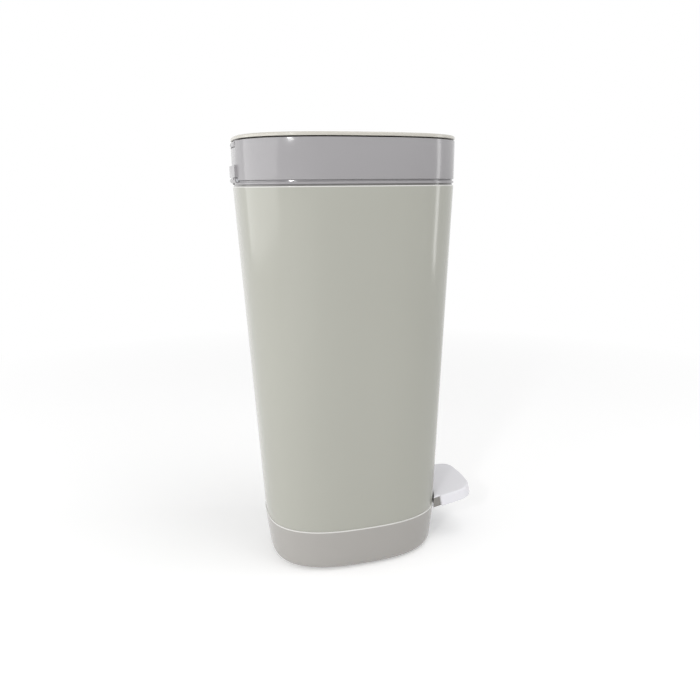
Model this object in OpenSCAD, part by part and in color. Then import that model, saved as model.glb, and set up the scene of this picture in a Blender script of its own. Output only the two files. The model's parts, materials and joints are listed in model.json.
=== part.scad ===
// Foot-pedal nappy bin: a tapered oval body on a moulded base, a hinged head that
// holds a refill cassette, and a lid that a pedal opens through a rod at the back.
// Millimetres, +Z up, front towards -Y, origin on the floor under the base.

/* [Overall] */
// Height from the floor to the top of the lid
total_h = 600; // [570:1:640]
// Width of the head and of the top of the body
top_w = 229; // [224:1:245]
// Depth of the head and of the top of the body
top_d = 297; // [290:1:312]
// Width of the body where it meets the base
waist_w = 184; // [178:1:196]
// Depth of the body where it meets the base
waist_d = 256; // [252:1:266]
// Distance that the centre of the top lies behind the centre of the base
lean = 5.5; // [3:0.5:7]
// Exponent of the oval outline, 2 is an ellipse and more is squarer
oval_power = 2.64; // [2.4:0.02:2.9]

/* [Base] */
// Height of the base up to the seam under the body
base_h = 65.5; // [63:0.5:70]
// Distance that the base stands proud of the body at the seam
base_lip = 1.1; // [0.8:0.1:1.4]
// Distance that the base draws in from the seam to the floor
base_draw = 7; // [4:0.5:10]
// Radius of the bottom edge of the base
base_edge_r = 13; // [8:0.5:15]
// Wall of the base
base_wall = 3; // [2.4:0.1:3.6]
// Height of the spigot that stands up into the body
spigot_h = 22; // [16:1:28]
// Thickness of the plate that closes the base
plate_t = 3; // [2.4:0.2:4]

/* [Body] */
// Wall of the body
body_wall = 3.2; // [2.6:0.1:3.8]
// Depth of the shadow grooves above and below the collar
groove_depth = 1.8; // [1.4:0.1:2]
// Height of each shadow groove
groove_h = 2; // [1.6:0.1:2.2]
// Thickness of the floor of the chamber
floor_t = 3; // [2:0.2:4]

/* [Collar and head] */
// Height of the visible band of the collar
collar_band_h = 3; // [2.6:0.1:4.4]
// Height of the head's band
head_h = 49; // [48:0.5:54]
// Wall of the head
head_wall = 3; // [2.4:0.1:3.4]
// Depth that the collar's neck reaches into the body
neck_h = 25; // [20:1:30]
// Wall of the collar's neck
neck_wall = 2.6; // [2:0.1:3.2]
// Radius of the head's hinge barrels
hinge_r = 3.5; // [3.3:0.1:3.8]
// Half width of the head's hinge
hinge_half = 30; // [27:1:34]
// Half width of the middle knuckle of each hinge
knuckle_half = 10.7; // [9:0.1:12]
// Radius of the hinge pins
hinge_pin_r = 1.8; // [1.5:0.1:2.1]
// Radius of the throat that the nappies are pushed through
throat_r = 58; // [54:1:59]
// Outer radius of the refill cassette
cassette_r = 81; // [79:0.5:84]
// Height of the refill cassette
cassette_h = 34; // [30:1:34]

/* [Lid] */
// Thickness of the lid's edge
lid_t = 4.4; // [4:0.2:5.6]
// Gap between the lid and the head
lid_gap = 1.6; // [1.2:0.1:2]
// Radius of the rounding round the lid's top edge
lid_edge_r = 2; // [1:0.2:2.6]

/* [Pedal] */
// Half width of the pedal's footplate
pedal_half = 51; // [48:1:53]
// Distance that the footplate reaches forwards past the base's seam
pedal_reach = 60; // [56:1:64]
// Height of the footplate's top at the base's seam
pedal_neck_z = 74.5; // [74:0.5:77]
// Angle by which the footplate rises towards its front at rest
pedal_tilt = 10.5; // [8:0.5:12]
// Height of the footplate's side
pedal_side_h = 17; // [16:0.5:19]
// Wall of the footplate
pedal_wall = 3; // [2.4:0.2:3.4]
// Radius of the footplate's front corners
pedal_corner_r = 26; // [22:1:30]
// Radius of the rounding round the footplate's top
pedal_edge_r = 2.6; // [1.6:0.2:2.8]
// Distance that the neck behind the footplate is drawn in on each side
neck_in = 2; // [1.2:0.2:3]
// Length of the neck between the footplate and the body
neck_length = 10; // [8:1:12]
// Radius of the pedal's axle
axle_r = 4; // [3.5:0.1:4.5]
// Thickness of the pedal's lever
lever_t = 6; // [5:0.2:7]
// Half width of the lever
lever_half = 27; // [24:0.5:30]
// Angle that the pedal turns when it is pressed
pedal_turn = 12; // [10:0.5:12]

/* [Rod] */
// Radius of the push rod
rod_r = 3; // [2.6:0.1:3.2]
// Distance that the rod rises when the pedal is down
rod_travel = 26.8; // [24:0.2:27]
// Wire radius of the return spring
wire_r = 0.7; // [0.6:0.05:0.8]
// Turns of the return spring
spring_turns = 9; // [7:1:11]

/* [Hidden] */
$fn = 48;

// Clearances: between pieces that move, between fixed pieces, and of a pin in its bore
run_gap = 0.4;
seat_gap = 0.3;
bore_gap = 0.1;
// Length by which a cut runs past the surface that it opens
over = 1;

// Opening in the foot of the base, and the plate that closes it
foot_ring = 4;
plate_flange = 5;
flange_t = 2.4;
plate_top = plate_t + flange_t;
cavity_wall = base_wall + 1.5;

// Axle of the pedal, and its bracket
axle_y = -20;
axle_z = 30;
hub_r = 9;
cheek_t = 5;
cheek_in = lever_half + 2 * run_gap;
cheek_out = cheek_in + cheek_t;
bracket_t = 3;
bracket_ear = 9;
bracket_half_y = 22;
screw_inset = 5;
cheek_inset = 4;
axle_end = 2;
screw_r = 1.6;
screw_head_r = 3.4;
screw_head_t = 2.2;

// Pedal and lever, on the footplate's own axes with its top at zero
pedal_gap = 1;
pedal_bow_r = 260;
pedal_pad_top = -13;
pedal_rib_low = -11;
pedal_rib_t = 2;
pedal_rib_x = 36;
pad_front = 12;
pad_rear = 20;
boss_r = 5;
boss_x = 18;
boss_back = 30;
screw_bite = 8;
lever_nose = 12;
lever_tail = 2;
lever_waist = 2;
knee_drop = 6;
slot_gap = 3;

// Hinges of the head and of the lid
head_hinge_in = 1.8;
head_hinge_up = 0.2;
lid_hinge_in = 4.2;
lid_barrel_r = 4.2;
lid_barrel_half = 24;
lid_knuckle_half = 30;
lid_leaf_in = 3.2;
lid_leaf_out = 1.4;
lid_soft = 0.4;
notch_gap = 2;

// Rod: its tip under the lid's crank and its foot over the lever
crank_angle = 34;
crank_reach = 30;
crank_t = 6;
crank_half = 4.2;
rod_offset = 19;
rod_tip_r = 4.4;
rod_foot_r = 5;
touch_gap = 0.5;
rod_low = 52;
rod_clear = 1;
rod_seat = 3;
tip_seat = 1;
tip_cap_h = 12;
foot_cap_h = 6;
guide_inset = 2;
collar_z = 150;
collar_h = 5;
collar_r = 6.3;
spring_reserve = 17.2;
spring_r = 4.9;
guide_half = 6.6;
guide_h = 10;
channel_half = 9.4;
channel_wall = 2.2;
channel_sag = 0.25;

// Head: ledge, deck, well of the cassette and the flaps under the throat
ledge_w = 4;
ledge_t = 2.4;
deck_t = 2.6;
deck_drop = 8;
well_wall = 2;
well_floor_t = 2.6;
well_lip_w = 3;
well_lip_t = 2;
cassette_wall = 2;
cassette_rim_w = 15;
film_slot_h = 8;
film_crown = 2;
flap_t = 2.4;
flap_half = 52;
flap_barrel_r = 3;
flap_pin_r = 1.5;
flap_lug_w = 6;
flap_lug_half = 4;
pad_h = 19;
flap_rib_t = 2;
flap_rib_start = 3;
flap_slot_half = 7;
flap_slot_depth = 6;
flap_spring_r = 2.4;
flap_wire_r = 0.4;
flap_spring_length = 12;
flap_spring_turns = 5;

// Cutter on the collar's neck
cutter_half = 42;
cutter_depth = 9;
cutter_h = 14;
blade_t = 0.8;
blade_half = 14;
blade_slot_h = 3;
blade_lift = 1;

// Lid: recess, liner and seal
lid_rim_w = 5;
lid_skin = 2.2;
liner_t = 2;
seal_w = 4;
seal_out = 1;
liner_wall = 3;

// Facets round an oval, and rings over the rounding of an edge
oval_steps = 96;
round_steps = 96;
bow_steps = 4;
corner_steps = 12;
back_steps = 12;
edge_rings = 5;

// Softening of the edges that show, and the shoulder between the base's wall and its spigot
soft_edge = 0.6;
shoulder_t = 2.2;

// Heights of the stack from the lid down
lid_z = total_h - lid_t;
head_top = lid_z - lid_gap;
head_z = head_top - head_h;
collar_top = head_z - groove_h;
rim_z = collar_top - collar_band_h;
body_top = rim_z - groove_h;
spigot_z = base_h + spigot_h;
floor_top = spigot_z + floor_t;

// Size of the body's outline at a height, on straight sides from the base to the rim
function share(z) = (z - base_h) / (rim_z - base_h);
function body_w(z) = waist_w + (top_w - waist_w) * share(z);
function body_d(z) = waist_d + (top_d - waist_d) * share(z);
function body_y(z) = lean * z / rim_z;

// Back edge of the body, and how far back it runs for each millimetre up
function body_back(z) = body_y(z) + body_d(z) / 2;
back_slope = (body_back(rim_z) - body_back(base_h)) / (rim_z - base_h);
back_tilt = atan(back_slope);

// Places of the two hinges and of the rod's two ends
head_hinge_y = body_back(rim_z) - head_hinge_in;
head_hinge_z = head_z + head_hinge_up;
lid_hinge_y = body_back(rim_z) - lid_hinge_in;
lid_hinge_z = lid_z - lid_barrel_r - run_gap;
rod_tip_y = lid_hinge_y - rod_offset;
rod_tip_z = lid_hinge_z
    - (rod_offset * sin(crank_angle) + rod_tip_r + touch_gap + crank_t / 2) / cos(crank_angle);
crank_notch_half = lid_knuckle_half + notch_gap;
crank_notch_y = rod_tip_y - crank_reach / 2;
function rod_y(z) = rod_tip_y - back_slope * (rod_tip_z - z);
lever_rear_y = rod_y(rod_low);
lever_rear_top = rod_low - rod_foot_r - touch_gap;

// Length of the spring at rest: the rod's travel, its closed coils and a reserve
spring_length = rod_travel + 2 * wire_r * (spring_turns + 1) + spring_reserve;

// Distance from the rod's axis back to the inside of the body
rod_to_wall = (body_back(rim_z) - body_wall - rod_y(rim_z)) * cos(back_tilt);
channel_low = floor_top + seat_gap;
channel_high = rim_z - neck_h - 3;

// Heights in the head
deck_top = head_top - deck_drop;
ledge_top = deck_top - deck_t;
cassette_z = deck_top - cassette_h;
well_z = cassette_z - seat_gap - well_floor_t;
well_r = cassette_r + seat_gap + bore_gap;
cassette_core_r = throat_r + 2;
flap_x = throat_r + 8;
flap_z = well_z - flap_barrel_r - run_gap;

// Outline of the collar's neck
neck_section = body_section(rim_z - neck_h, body_wall + seat_gap);
neck_front = neck_section[3] - neck_section[2] / 2 + neck_wall;

// Front of the base at the seam, the pedal's reach, and the slot's top with the lever below it
base_front = body_y(base_h) - waist_d / 2 - base_lip;
pedal_front = base_front - pedal_reach;
slot_high = 59;
knee_top = slot_high - knee_drop;
knee_low = knee_top - lever_t;
slot_low = axle_z + (knee_low - axle_z) * cos(pedal_turn)
    - (axle_y - base_front) * sin(pedal_turn) - 2 * slot_gap;

// Points of an oval, each from the angle that it would have on an ellipse
function oval_arm(v) = sign(v) * pow(abs(v), 2 / oval_power);
function oval(w, d, y) = [
    for (i = [0 : oval_steps - 1])
        let (a = 360 * i / oval_steps)
            [w / 2 * oval_arm(cos(a)), y + d / 2 * oval_arm(sin(a))]
];
// Section of the body at a height, drawn in by an inset: [z, width, depth, centre]
function body_section(z, inset) = [z, body_w(z) - 2 * inset, body_d(z) - 2 * inset, body_y(z)];

// Section of the base, with its draw towards the floor and the rounding of its bottom edge
function edge_inset(z) = z < base_edge_r
    ? base_edge_r - sqrt(pow(base_edge_r, 2) - pow(base_edge_r - z, 2)) : 0;
function base_inset(z) = base_draw * (1 - z / base_h) + edge_inset(z);
function base_section(z, inset) = let (all = base_inset(z) - base_lip + inset)
    [z, waist_w - 2 * all, waist_d - 2 * all, body_y(z)];

// Solid between closed rings of points that are stacked upwards
module stack(rings) {
    n = len(rings[0]);
    last = (len(rings) - 1) * n;
    sides = [
        for (k = [0 : len(rings) - 2])
            for (i = [0 : n - 1])
                let (a = k * n + i, b = k * n + (i + 1) % n)
                    each [[a, a + n, b], [b, a + n, b + n]]
    ];
    low = [for (i = [0 : n - 1]) i];
    high = [for (i = [n - 1 : -1 : 0]) last + i];
    polyhedron([for (ring = rings) each ring], concat(sides, [low], [high]));
}

// Ring of an outline at a height
function ring(outline, z) = [for (p = outline) [p[0], p[1], z]];

// Solid between oval sections that are stacked upwards
module loft(sections) {
    stack([for (s = sections) ring(oval(s[1], s[2], s[3]), s[0])]);
}

// Section of the head at a height, drawn in by an inset
function head_section(z, inset) = [z, top_w - 2 * inset, top_d - 2 * inset, lean];

// Oval slab of the head with a softened edge below and above
module soft_slab(z, h) {
    loft([
        head_section(z, soft_edge), head_section(z + soft_edge, 0),
        head_section(z + h - soft_edge, 0), head_section(z + h, soft_edge)
    ]);
}

// Upright oval plate or wall, as large as the head less an inset
module head_slab(z, h, inset) {
    translate([0, 0, z])
        linear_extrude(h)
            polygon(oval(top_w - 2 * inset, top_d - 2 * inset, lean));
}

// Cylinder along X between two places, for barrels, pins and bores
module along_x(x0, x1, y, z, r) {
    translate([x0, y, z])
        rotate([0, 90, 0])
            cylinder(h = x1 - x0, r = r);
}

// Box between two corners
module block(low, high) {
    translate(low)
        cube(high - low);
}

// Flat shapes in the plane of Y and Z, extruded along X to both sides
module side_shape(half) {
    rotate([90, 0, 90])
        linear_extrude(2 * half, center = true)
            children();
}

// Outline in the plane of Y and Z, extruded along X to both sides
module side_profile(half, points) {
    side_shape(half)
        polygon(points);
}

// Places its children on the rod's axis at a height, leaning back with it
module on_rod(z) {
    translate([0, rod_y(z), z])
        rotate([-back_tilt, 0, 0])
            children();
}

// Wire wound into a coil that stands on the plane of its first ring
module coil(coil_r, wire, length, turns) {
    each_turn = 8;
    sides = 6;
    steps = each_turn * turns;
    turn = 360 / each_turn;
    rise = (length - 2 * wire) / steps;
    centres = [
        for (i = [0 : steps])
            [coil_r * cos(turn * i), coil_r * sin(turn * i), wire + rise * i]
    ];
    points = [
        for (i = [0 : steps])
            for (j = [0 : sides - 1])
                let (a = 360 * j / sides, out = coil_r + wire * cos(a))
                    [out * cos(turn * i), out * sin(turn * i), centres[i][2] + wire * sin(a)]
    ];
    faces = [
        for (i = [0 : steps - 1])
            for (j = [0 : sides - 1])
                let (a = i * sides + j, b = i * sides + (j + 1) % sides)
                    each [[a, a + sides, b], [b, a + sides, b + sides]]
    ];
    start = [for (j = [0 : sides - 1]) j];
    end = [for (j = [sides - 1 : -1 : 0]) steps * sides + j];
    gaps = [
        for (i = [0 : steps - each_turn])
            for (k = [each_turn - 2 : min(each_turn + 2, steps - i)])
                norm(centres[i + k] - centres[i]) - 2 * wire
    ];
    echo(least_gap_between_turns = min(gaps));
    polyhedron(points, concat(faces, [start], [end]));
}

// Screws of the pedal's bracket, one at each corner of its foot
module at_bracket_screws() {
    for (sx = [-1, 1], sy = [-1, 1])
        translate([sx * (cheek_out + bracket_ear / 2), axle_y + sy * (bracket_half_y - screw_inset), 0])
            children();
}

// Screws that hold the footplate on its lever, on the footplate's own axes
module at_pedal_screws() {
    for (sx = [-1, 1])
        translate([sx * boss_x, boss_back - pedal_reach, 0])
            children();
}

module base() {
    spigot_inset = body_wall + seat_gap;
    color("#a8a4a0")
        difference() {
            union() {
                loft([
                    for (k = [0 : edge_rings])
                        base_section(base_edge_r * (1 - cos(90 * k / edge_rings)), 0),
                    base_section(base_h - soft_edge, 0),
                    base_section(base_h, soft_edge)
                ]);
                loft([
                    body_section(base_h - 2 * shoulder_t, spigot_inset),
                    body_section(spigot_z, spigot_inset)
                ]);
            }
            loft([
                base_section(plate_t, cavity_wall),
                base_section(base_edge_r, cavity_wall),
                base_section(base_h - 3 * shoulder_t, cavity_wall),
                body_section(base_h - shoulder_t, spigot_inset + base_wall),
                body_section(spigot_z + over, spigot_inset + base_wall)
            ]);
            foot_slab(-over, plate_t + 2 * over, 0);
            block([-lever_half - slot_gap, pedal_front, slot_low],
                [lever_half + slot_gap, axle_y - hub_r, slot_high]);
        }
}

// Upright oval slab as large as the opening in the foot, less an inset
module foot_slab(z, h, inset) {
    foot = base_section(0, foot_ring + inset);
    translate([0, 0, z])
        linear_extrude(h)
            polygon(oval(foot[1], foot[2], foot[3]));
}

module bottom_plate() {
    color("#8f8c88")
        difference() {
            union() {
                foot_slab(0, plate_t, seat_gap);
                foot_slab(plate_t, flange_t, -plate_flange);
            }
            at_bracket_screws() {
                translate([0, 0, -over])
                    cylinder(h = over + screw_head_t + seat_gap, r = screw_head_r + seat_gap);
                cylinder(h = plate_top + over, r = screw_r + bore_gap);
            }
        }
}

module pedal_bracket() {
    half = cheek_out + bracket_ear;
    color("#6f7276")
        difference() {
            union() {
                block([-half, axle_y - bracket_half_y, plate_top],
                    [half, axle_y + bracket_half_y, plate_top + bracket_t]);
                for (side = [-1, 1])
                    translate([side * (cheek_in + cheek_out) / 2, 0, 0]) {
                        side_profile(cheek_t / 2, [
                            [axle_y - bracket_half_y + cheek_inset, plate_top],
                            [axle_y + bracket_half_y - cheek_inset, plate_top],
                            [axle_y + hub_r, axle_z],
                            [axle_y - hub_r, axle_z]
                        ]);
                        along_x(-cheek_t / 2, cheek_t / 2, axle_y, axle_z, hub_r);
                    }
            }
            along_x(-half, half, axle_y, axle_z, axle_r + bore_gap);
            at_bracket_screws()
                cylinder(h = plate_top + bracket_t + over, r = screw_r + bore_gap);
        }
}

module bracket_screws() {
    color("#c9cacc")
        at_bracket_screws() {
            translate([0, 0, seat_gap])
                cylinder(h = screw_head_t, r = screw_head_r);
            translate([0, 0, seat_gap])
                cylinder(h = plate_top + bracket_t + over, r = screw_r);
        }
}

module pedal_axle() {
    color("#c9cacc")
        along_x(-cheek_out - axle_end, cheek_out + axle_end, axle_y, axle_z, axle_r);
}

module floor_panel() {
    edge = body_section(spigot_z, body_wall + seat_gap);
    color("#9d9a94")
        difference() {
            translate([0, 0, spigot_z])
                linear_extrude(floor_t)
                    polygon(oval(edge[1], edge[2], edge[3]));
            translate([0, rod_y(spigot_z), spigot_z - over])
                cylinder(h = floor_t + 2 * over, r = rod_foot_r + rod_clear);
        }
}

module body_shell() {
    color("#b2b2a8")
        difference() {
            union() {
                loft([
                    body_section(base_h, soft_edge), body_section(base_h + soft_edge, 0),
                    body_section(body_top - soft_edge, 0), body_section(body_top, soft_edge)
                ]);
                loft([body_section(body_top - groove_h, groove_depth),
                    body_section(rim_z, groove_depth)]);
            }
            loft([body_section(base_h - over, body_wall), body_section(rim_z + over, body_wall)]);
        }
}

module rod_channel() {
    back = rod_to_wall - seat_gap - channel_sag;
    inner = channel_half - channel_wall;
    color("#9d9a94")
        on_rod(channel_low)
            translate([0, 0, rod_to_wall * sin(back_tilt)])
                linear_extrude((channel_high - channel_low) / cos(back_tilt))
                    polygon([
                        [-channel_half, -channel_half], [channel_half, -channel_half],
                        [channel_half, back], [inner, back], [inner, -inner],
                        [-inner, -inner], [-inner, back], [-channel_half, back]
                    ]);
}

// Guide block in the channel, bored for the rod
module rod_guide(z) {
    color("#d8d8d4")
        on_rod(z)
            difference() {
                block([-guide_half, -guide_half, 0],
                    [guide_half, rod_to_wall - seat_gap - channel_sag, guide_h]);
                translate([0, 0, -over])
                    cylinder(h = guide_h + 2 * over, r = rod_r + bore_gap);
            }
}

module rod_guide_lower() {
    rod_guide(channel_low + guide_inset);
}

module rod_guide_middle() {
    rod_guide(collar_z + collar_h + spring_length + 2 * seat_gap);
}

module rod_guide_upper() {
    rod_guide(channel_high - guide_h - guide_inset);
}

module return_spring() {
    color("#c9cacc")
        on_rod(collar_z + collar_h + seat_gap)
            coil(spring_r, wire_r, spring_length, spring_turns);
}

module push_rod() {
    color("#c9cacc")
        on_rod(rod_low)
            translate([0, 0, rod_seat])
                cylinder(h = (rod_tip_z - rod_low) / cos(back_tilt) - rod_seat - tip_seat, r = rod_r);
}

module rod_collar() {
    color("#8f8c88")
        on_rod(collar_z)
            difference() {
                cylinder(h = collar_h, r = collar_r);
                translate([0, 0, -over])
                    cylinder(h = collar_h + 2 * over, r = rod_r + bore_gap);
            }
}

module rod_tip() {
    color("#d8d8d4")
        on_rod(rod_tip_z)
            difference() {
                union() {
                    sphere(r = rod_tip_r);
                    translate([0, 0, -tip_cap_h])
                        cylinder(h = tip_cap_h, r = rod_tip_r);
                }
                translate([0, 0, -tip_cap_h - over])
                    cylinder(h = tip_cap_h + over - tip_seat + bore_gap, r = rod_r + bore_gap);
            }
}

module rod_foot() {
    color("#d8d8d4")
        on_rod(rod_low)
            difference() {
                union() {
                    sphere(r = rod_foot_r);
                    cylinder(h = foot_cap_h, r = rod_foot_r);
                }
                translate([0, 0, rod_seat - bore_gap])
                    cylinder(h = foot_cap_h, r = rod_r + bore_gap);
            }
}

// Places its children on the footplate's own axes, which tilt back from the base's seam
module on_pedal() {
    translate([0, base_front, pedal_neck_z])
        rotate([-pedal_tilt, 0, 0])
            children();
}

// The same for a point, given as its place along Y and Z
function tilted(y, z) = [
    base_front + y * cos(pedal_tilt) + z * sin(pedal_tilt),
    pedal_neck_z - y * sin(pedal_tilt) + z * cos(pedal_tilt)
];

// Points on an arc round a place, without the last
function arc(x, y, r, start, end, steps) = [
    for (i = [0 : steps - 1])
        let (a = start + (end - start) * i / steps)
            [x + r * cos(a), y + r * sin(a)]
];

// Back of the footplate at a distance from the middle, drawn in by an inset
function pedal_back(x, inset) =
    let (b = body_section(pedal_neck_z, -(base_lip + pedal_gap + inset)))
        (b[3] - b[2] / 2 * pow(1 - pow(2 * x / b[1], oval_power), 1 / oval_power) - base_front)
            / cos(pedal_tilt);

// Right half of the footplate's outline, from the middle of its bowed front, round the
// corner and along the neck, to the middle of its back
function half_plan(inset) = let (
    corner_x = pedal_half - pedal_corner_r,
    bow_y = pedal_bow_r - pedal_reach,
    between = pedal_bow_r - pedal_corner_r,
    swing = asin(corner_x / between),
    corner_y = bow_y - between * cos(swing),
    neck_half = pedal_half - neck_in,
    neck_y = pedal_back(neck_half, 0) - neck_length - inset
) [
    each arc(0, bow_y, pedal_bow_r - inset, -90, swing - 90, bow_steps),
    each arc(corner_x, corner_y, pedal_corner_r - inset, swing - 90, 0, corner_steps),
    [pedal_half - inset, corner_y],
    [pedal_half - inset, neck_y],
    [neck_half - inset, neck_y],
    for (k = [back_steps : -1 : 0])
        let (x = (neck_half - inset) * k / back_steps)
            [x, pedal_back(x, inset)]
];

// Whole outline of the footplate from above, drawn in by an inset
function pedal_plan(inset) = let (half = half_plan(inset)) [
    each half,
    for (i = [len(half) - 2 : -1 : 1])
        [-half[i][0], half[i][1]]
];

module pedal() {
    ceiling = -pedal_wall;
    sunk = pedal_wall / 2;
    color("#dcdbdc")
        on_pedal()
            difference() {
                union() {
                    difference() {
                        stack([
                            ring(pedal_plan(0), -pedal_side_h),
                            for (k = [0 : edge_rings])
                                let (a = 90 * k / edge_rings)
                                    ring(pedal_plan(pedal_edge_r * (1 - cos(a))),
                                        pedal_edge_r * (sin(a) - 1))
                        ]);
                        stack([
                            ring(pedal_plan(pedal_wall), -pedal_side_h - over),
                            ring(pedal_plan(pedal_wall), ceiling)
                        ]);
                    }
                    at_pedal_screws()
                        translate([0, 0, pedal_pad_top])
                            cylinder(h = ceiling + sunk - pedal_pad_top, r = boss_r);
                    for (x = [-pedal_rib_x, 0, pedal_rib_x])
                        block([x - pedal_rib_t / 2, -pedal_reach + 2 * pedal_wall, pedal_rib_low],
                            [x + pedal_rib_t / 2, -2 * pedal_wall, ceiling + sunk]);
                }
                at_pedal_screws()
                    translate([0, 0, pedal_pad_top - over])
                        cylinder(h = ceiling - pedal_pad_top + over, r = screw_r + bore_gap);
            }
}

module pedal_lever() {
    pad_low = pedal_pad_top - lever_t;
    tail = lever_rear_y + rod_foot_r + lever_tail;
    color("#6f7276")
        difference() {
            union() {
                side_profile(lever_half, [
                    tilted(pad_front - pedal_reach, pad_low),
                    tilted(pad_front - pedal_reach, pedal_pad_top),
                    tilted(-pad_rear, pedal_pad_top),
                    [base_front, knee_top],
                    [axle_y, axle_z + hub_r - lever_waist],
                    [lever_rear_y - lever_nose, lever_rear_top],
                    [tail, lever_rear_top],
                    [tail, lever_rear_top - lever_t],
                    [lever_rear_y - lever_nose, lever_rear_top - lever_t],
                    [axle_y, axle_z - hub_r + lever_waist],
                    [base_front, knee_low],
                    tilted(-pad_rear, pad_low)
                ]);
                along_x(-lever_half, lever_half, axle_y, axle_z, hub_r);
            }
            along_x(-lever_half - over, lever_half + over, axle_y, axle_z, axle_r + bore_gap);
            on_pedal()
                at_pedal_screws()
                    translate([0, 0, pad_low - over])
                        cylinder(h = lever_t + 2 * over, r = screw_r + bore_gap);
        }
}

module pedal_screws() {
    color("#c9cacc")
        on_pedal()
            at_pedal_screws()
                translate([0, 0, pedal_pad_top - lever_t - screw_head_t]) {
                    cylinder(h = screw_head_t, r = screw_head_r);
                    cylinder(h = screw_head_t + lever_t + screw_bite, r = screw_r);
                }
}

module collar_ring() {
    far = body_back(rim_z) + hinge_r;
    color("#b9b8ba")
        difference() {
            union() {
                soft_slab(rim_z, collar_band_h);
                head_slab(rim_z, head_z - seat_gap - rim_z, groove_depth);
                translate([0, 0, rim_z - neck_h])
                    linear_extrude(neck_h + over)
                        polygon(oval(neck_section[1], neck_section[2], neck_section[3]));
                along_x(-hinge_half, hinge_half, head_hinge_y, head_hinge_z, hinge_r);
                block([-hinge_half, head_hinge_y - hinge_r, rim_z],
                    [hinge_half, head_hinge_y, head_hinge_z]);
            }
            translate([0, 0, rim_z - neck_h - over])
                linear_extrude(neck_h + head_z - rim_z + 2 * over)
                    polygon(oval(neck_section[1] - 2 * neck_wall, neck_section[2] - 2 * neck_wall,
                        neck_section[3]));
            block([-knuckle_half - run_gap, head_hinge_y - hinge_r - run_gap, rim_z],
                [knuckle_half + run_gap, far, head_top]);
            along_x(-hinge_half - over, hinge_half + over, head_hinge_y, head_hinge_z,
                hinge_pin_r + bore_gap);
        }
}

module head_hinge_pin() {
    color("#c9cacc")
        along_x(-hinge_half - over, hinge_half + over, head_hinge_y, head_hinge_z, hinge_pin_r);
}

module film_cutter() {
    top = rim_z - seat_gap;
    low = top - cutter_h;
    shift = neck_front + seat_gap;
    color("#d8d8d4")
        difference() {
            intersection() {
                block([-cutter_half, shift - neck_wall, low],
                    [cutter_half, shift + cutter_depth, top]);
                translate([0, 0, low - over])
                    linear_extrude(cutter_h + 2 * over)
                        polygon(oval(neck_section[1] - 2 * (neck_wall + seat_gap),
                            neck_section[2] - 2 * (neck_wall + seat_gap), neck_section[3]));
            }
            block([-cutter_half - over, shift + cutter_depth / 2, low + cutter_h / 2],
                [cutter_half + over, shift + cutter_depth + over, low + cutter_h / 2 + blade_slot_h]);
        }
}

module cutter_blade() {
    middle = rim_z - seat_gap - cutter_h / 2;
    start = neck_front + seat_gap + cutter_depth / 2;
    color("#dfe1e3")
        block([-blade_half, start + bore_gap, middle + blade_lift],
            [blade_half, start + cutter_depth / 2 - blade_lift, middle + blade_lift + blade_t]);
}

module head_shell() {
    reach = head_wall + ledge_w;
    color("#9e9ca1")
        difference() {
            union() {
                difference() {
                    soft_slab(head_z, head_h);
                    head_slab(head_z - over, head_h + 2 * over, head_wall);
                }
                difference() {
                    head_slab(ledge_top - ledge_t, ledge_t, head_wall);
                    head_slab(ledge_top - ledge_t - over, ledge_t + 2 * over, reach);
                    block([-crank_notch_half, crank_notch_y, head_z],
                        [crank_notch_half, lid_hinge_y + head_wall, head_top]);
                }
                head_hinge_leaf();
                lid_hinge_knuckles();
            }
            for (side = [-1, 1])
                mirror([side < 0 ? 1 : 0, 0, 0])
                    along_x(knuckle_half, hinge_half + notch_gap, head_hinge_y, head_hinge_z,
                        hinge_r + run_gap);
            along_x(-hinge_half, hinge_half, head_hinge_y, head_hinge_z, hinge_pin_r + bore_gap);
            block([-lid_barrel_half - run_gap, lid_hinge_y - lid_barrel_r - run_gap,
                lid_hinge_z - lid_barrel_r - 2 * run_gap],
                [lid_barrel_half + run_gap, body_back(rim_z) + over, head_top + over]);
            along_x(-lid_knuckle_half - over, lid_knuckle_half + over, lid_hinge_y, lid_hinge_z,
                hinge_pin_r + bore_gap);
        }
}

// Raised leaf on the back of the head with the middle knuckle below it
module head_hinge_leaf() {
    back = head_hinge_y + hinge_r;
    inside = body_back(rim_z) - head_wall;
    block([-hinge_half, inside, head_hinge_z + hinge_r + run_gap],
        [hinge_half, back, head_hinge_z + pad_h]);
    block([-knuckle_half, inside, head_hinge_z],
        [knuckle_half, back, head_hinge_z + pad_h]);
    along_x(-knuckle_half, knuckle_half, head_hinge_y, head_hinge_z, hinge_r);
}

// Fixed knuckles of the lid's hinge, one beyond each end of the lid's barrel
module lid_hinge_knuckles() {
    intersection() {
        for (side = [-1, 1])
            mirror([side < 0 ? 1 : 0, 0, 0]) {
                along_x(lid_barrel_half + run_gap, lid_knuckle_half, lid_hinge_y, lid_hinge_z,
                    lid_barrel_r);
                block([lid_barrel_half + run_gap, lid_hinge_y, lid_hinge_z - 2 * lid_barrel_r],
                    [lid_knuckle_half, body_back(rim_z), lid_hinge_z]);
            }
        head_slab(head_z, head_h + 2 * over, 0);
    }
}

module lid_hinge_pin() {
    color("#c9cacc")
        along_x(-lid_knuckle_half, lid_knuckle_half, lid_hinge_y, lid_hinge_z, hinge_pin_r);
}

module deck() {
    color("#e4e3e0")
        difference() {
            head_slab(ledge_top, deck_t, head_wall + seat_gap);
            translate([0, lean, ledge_top - over])
                cylinder(h = deck_t + 2 * over, r = well_r + well_wall + bore_gap, $fn = round_steps);
            block([-crank_notch_half, crank_notch_y, ledge_top - over],
                [crank_notch_half, body_back(rim_z), head_top]);
        }
}

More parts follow.
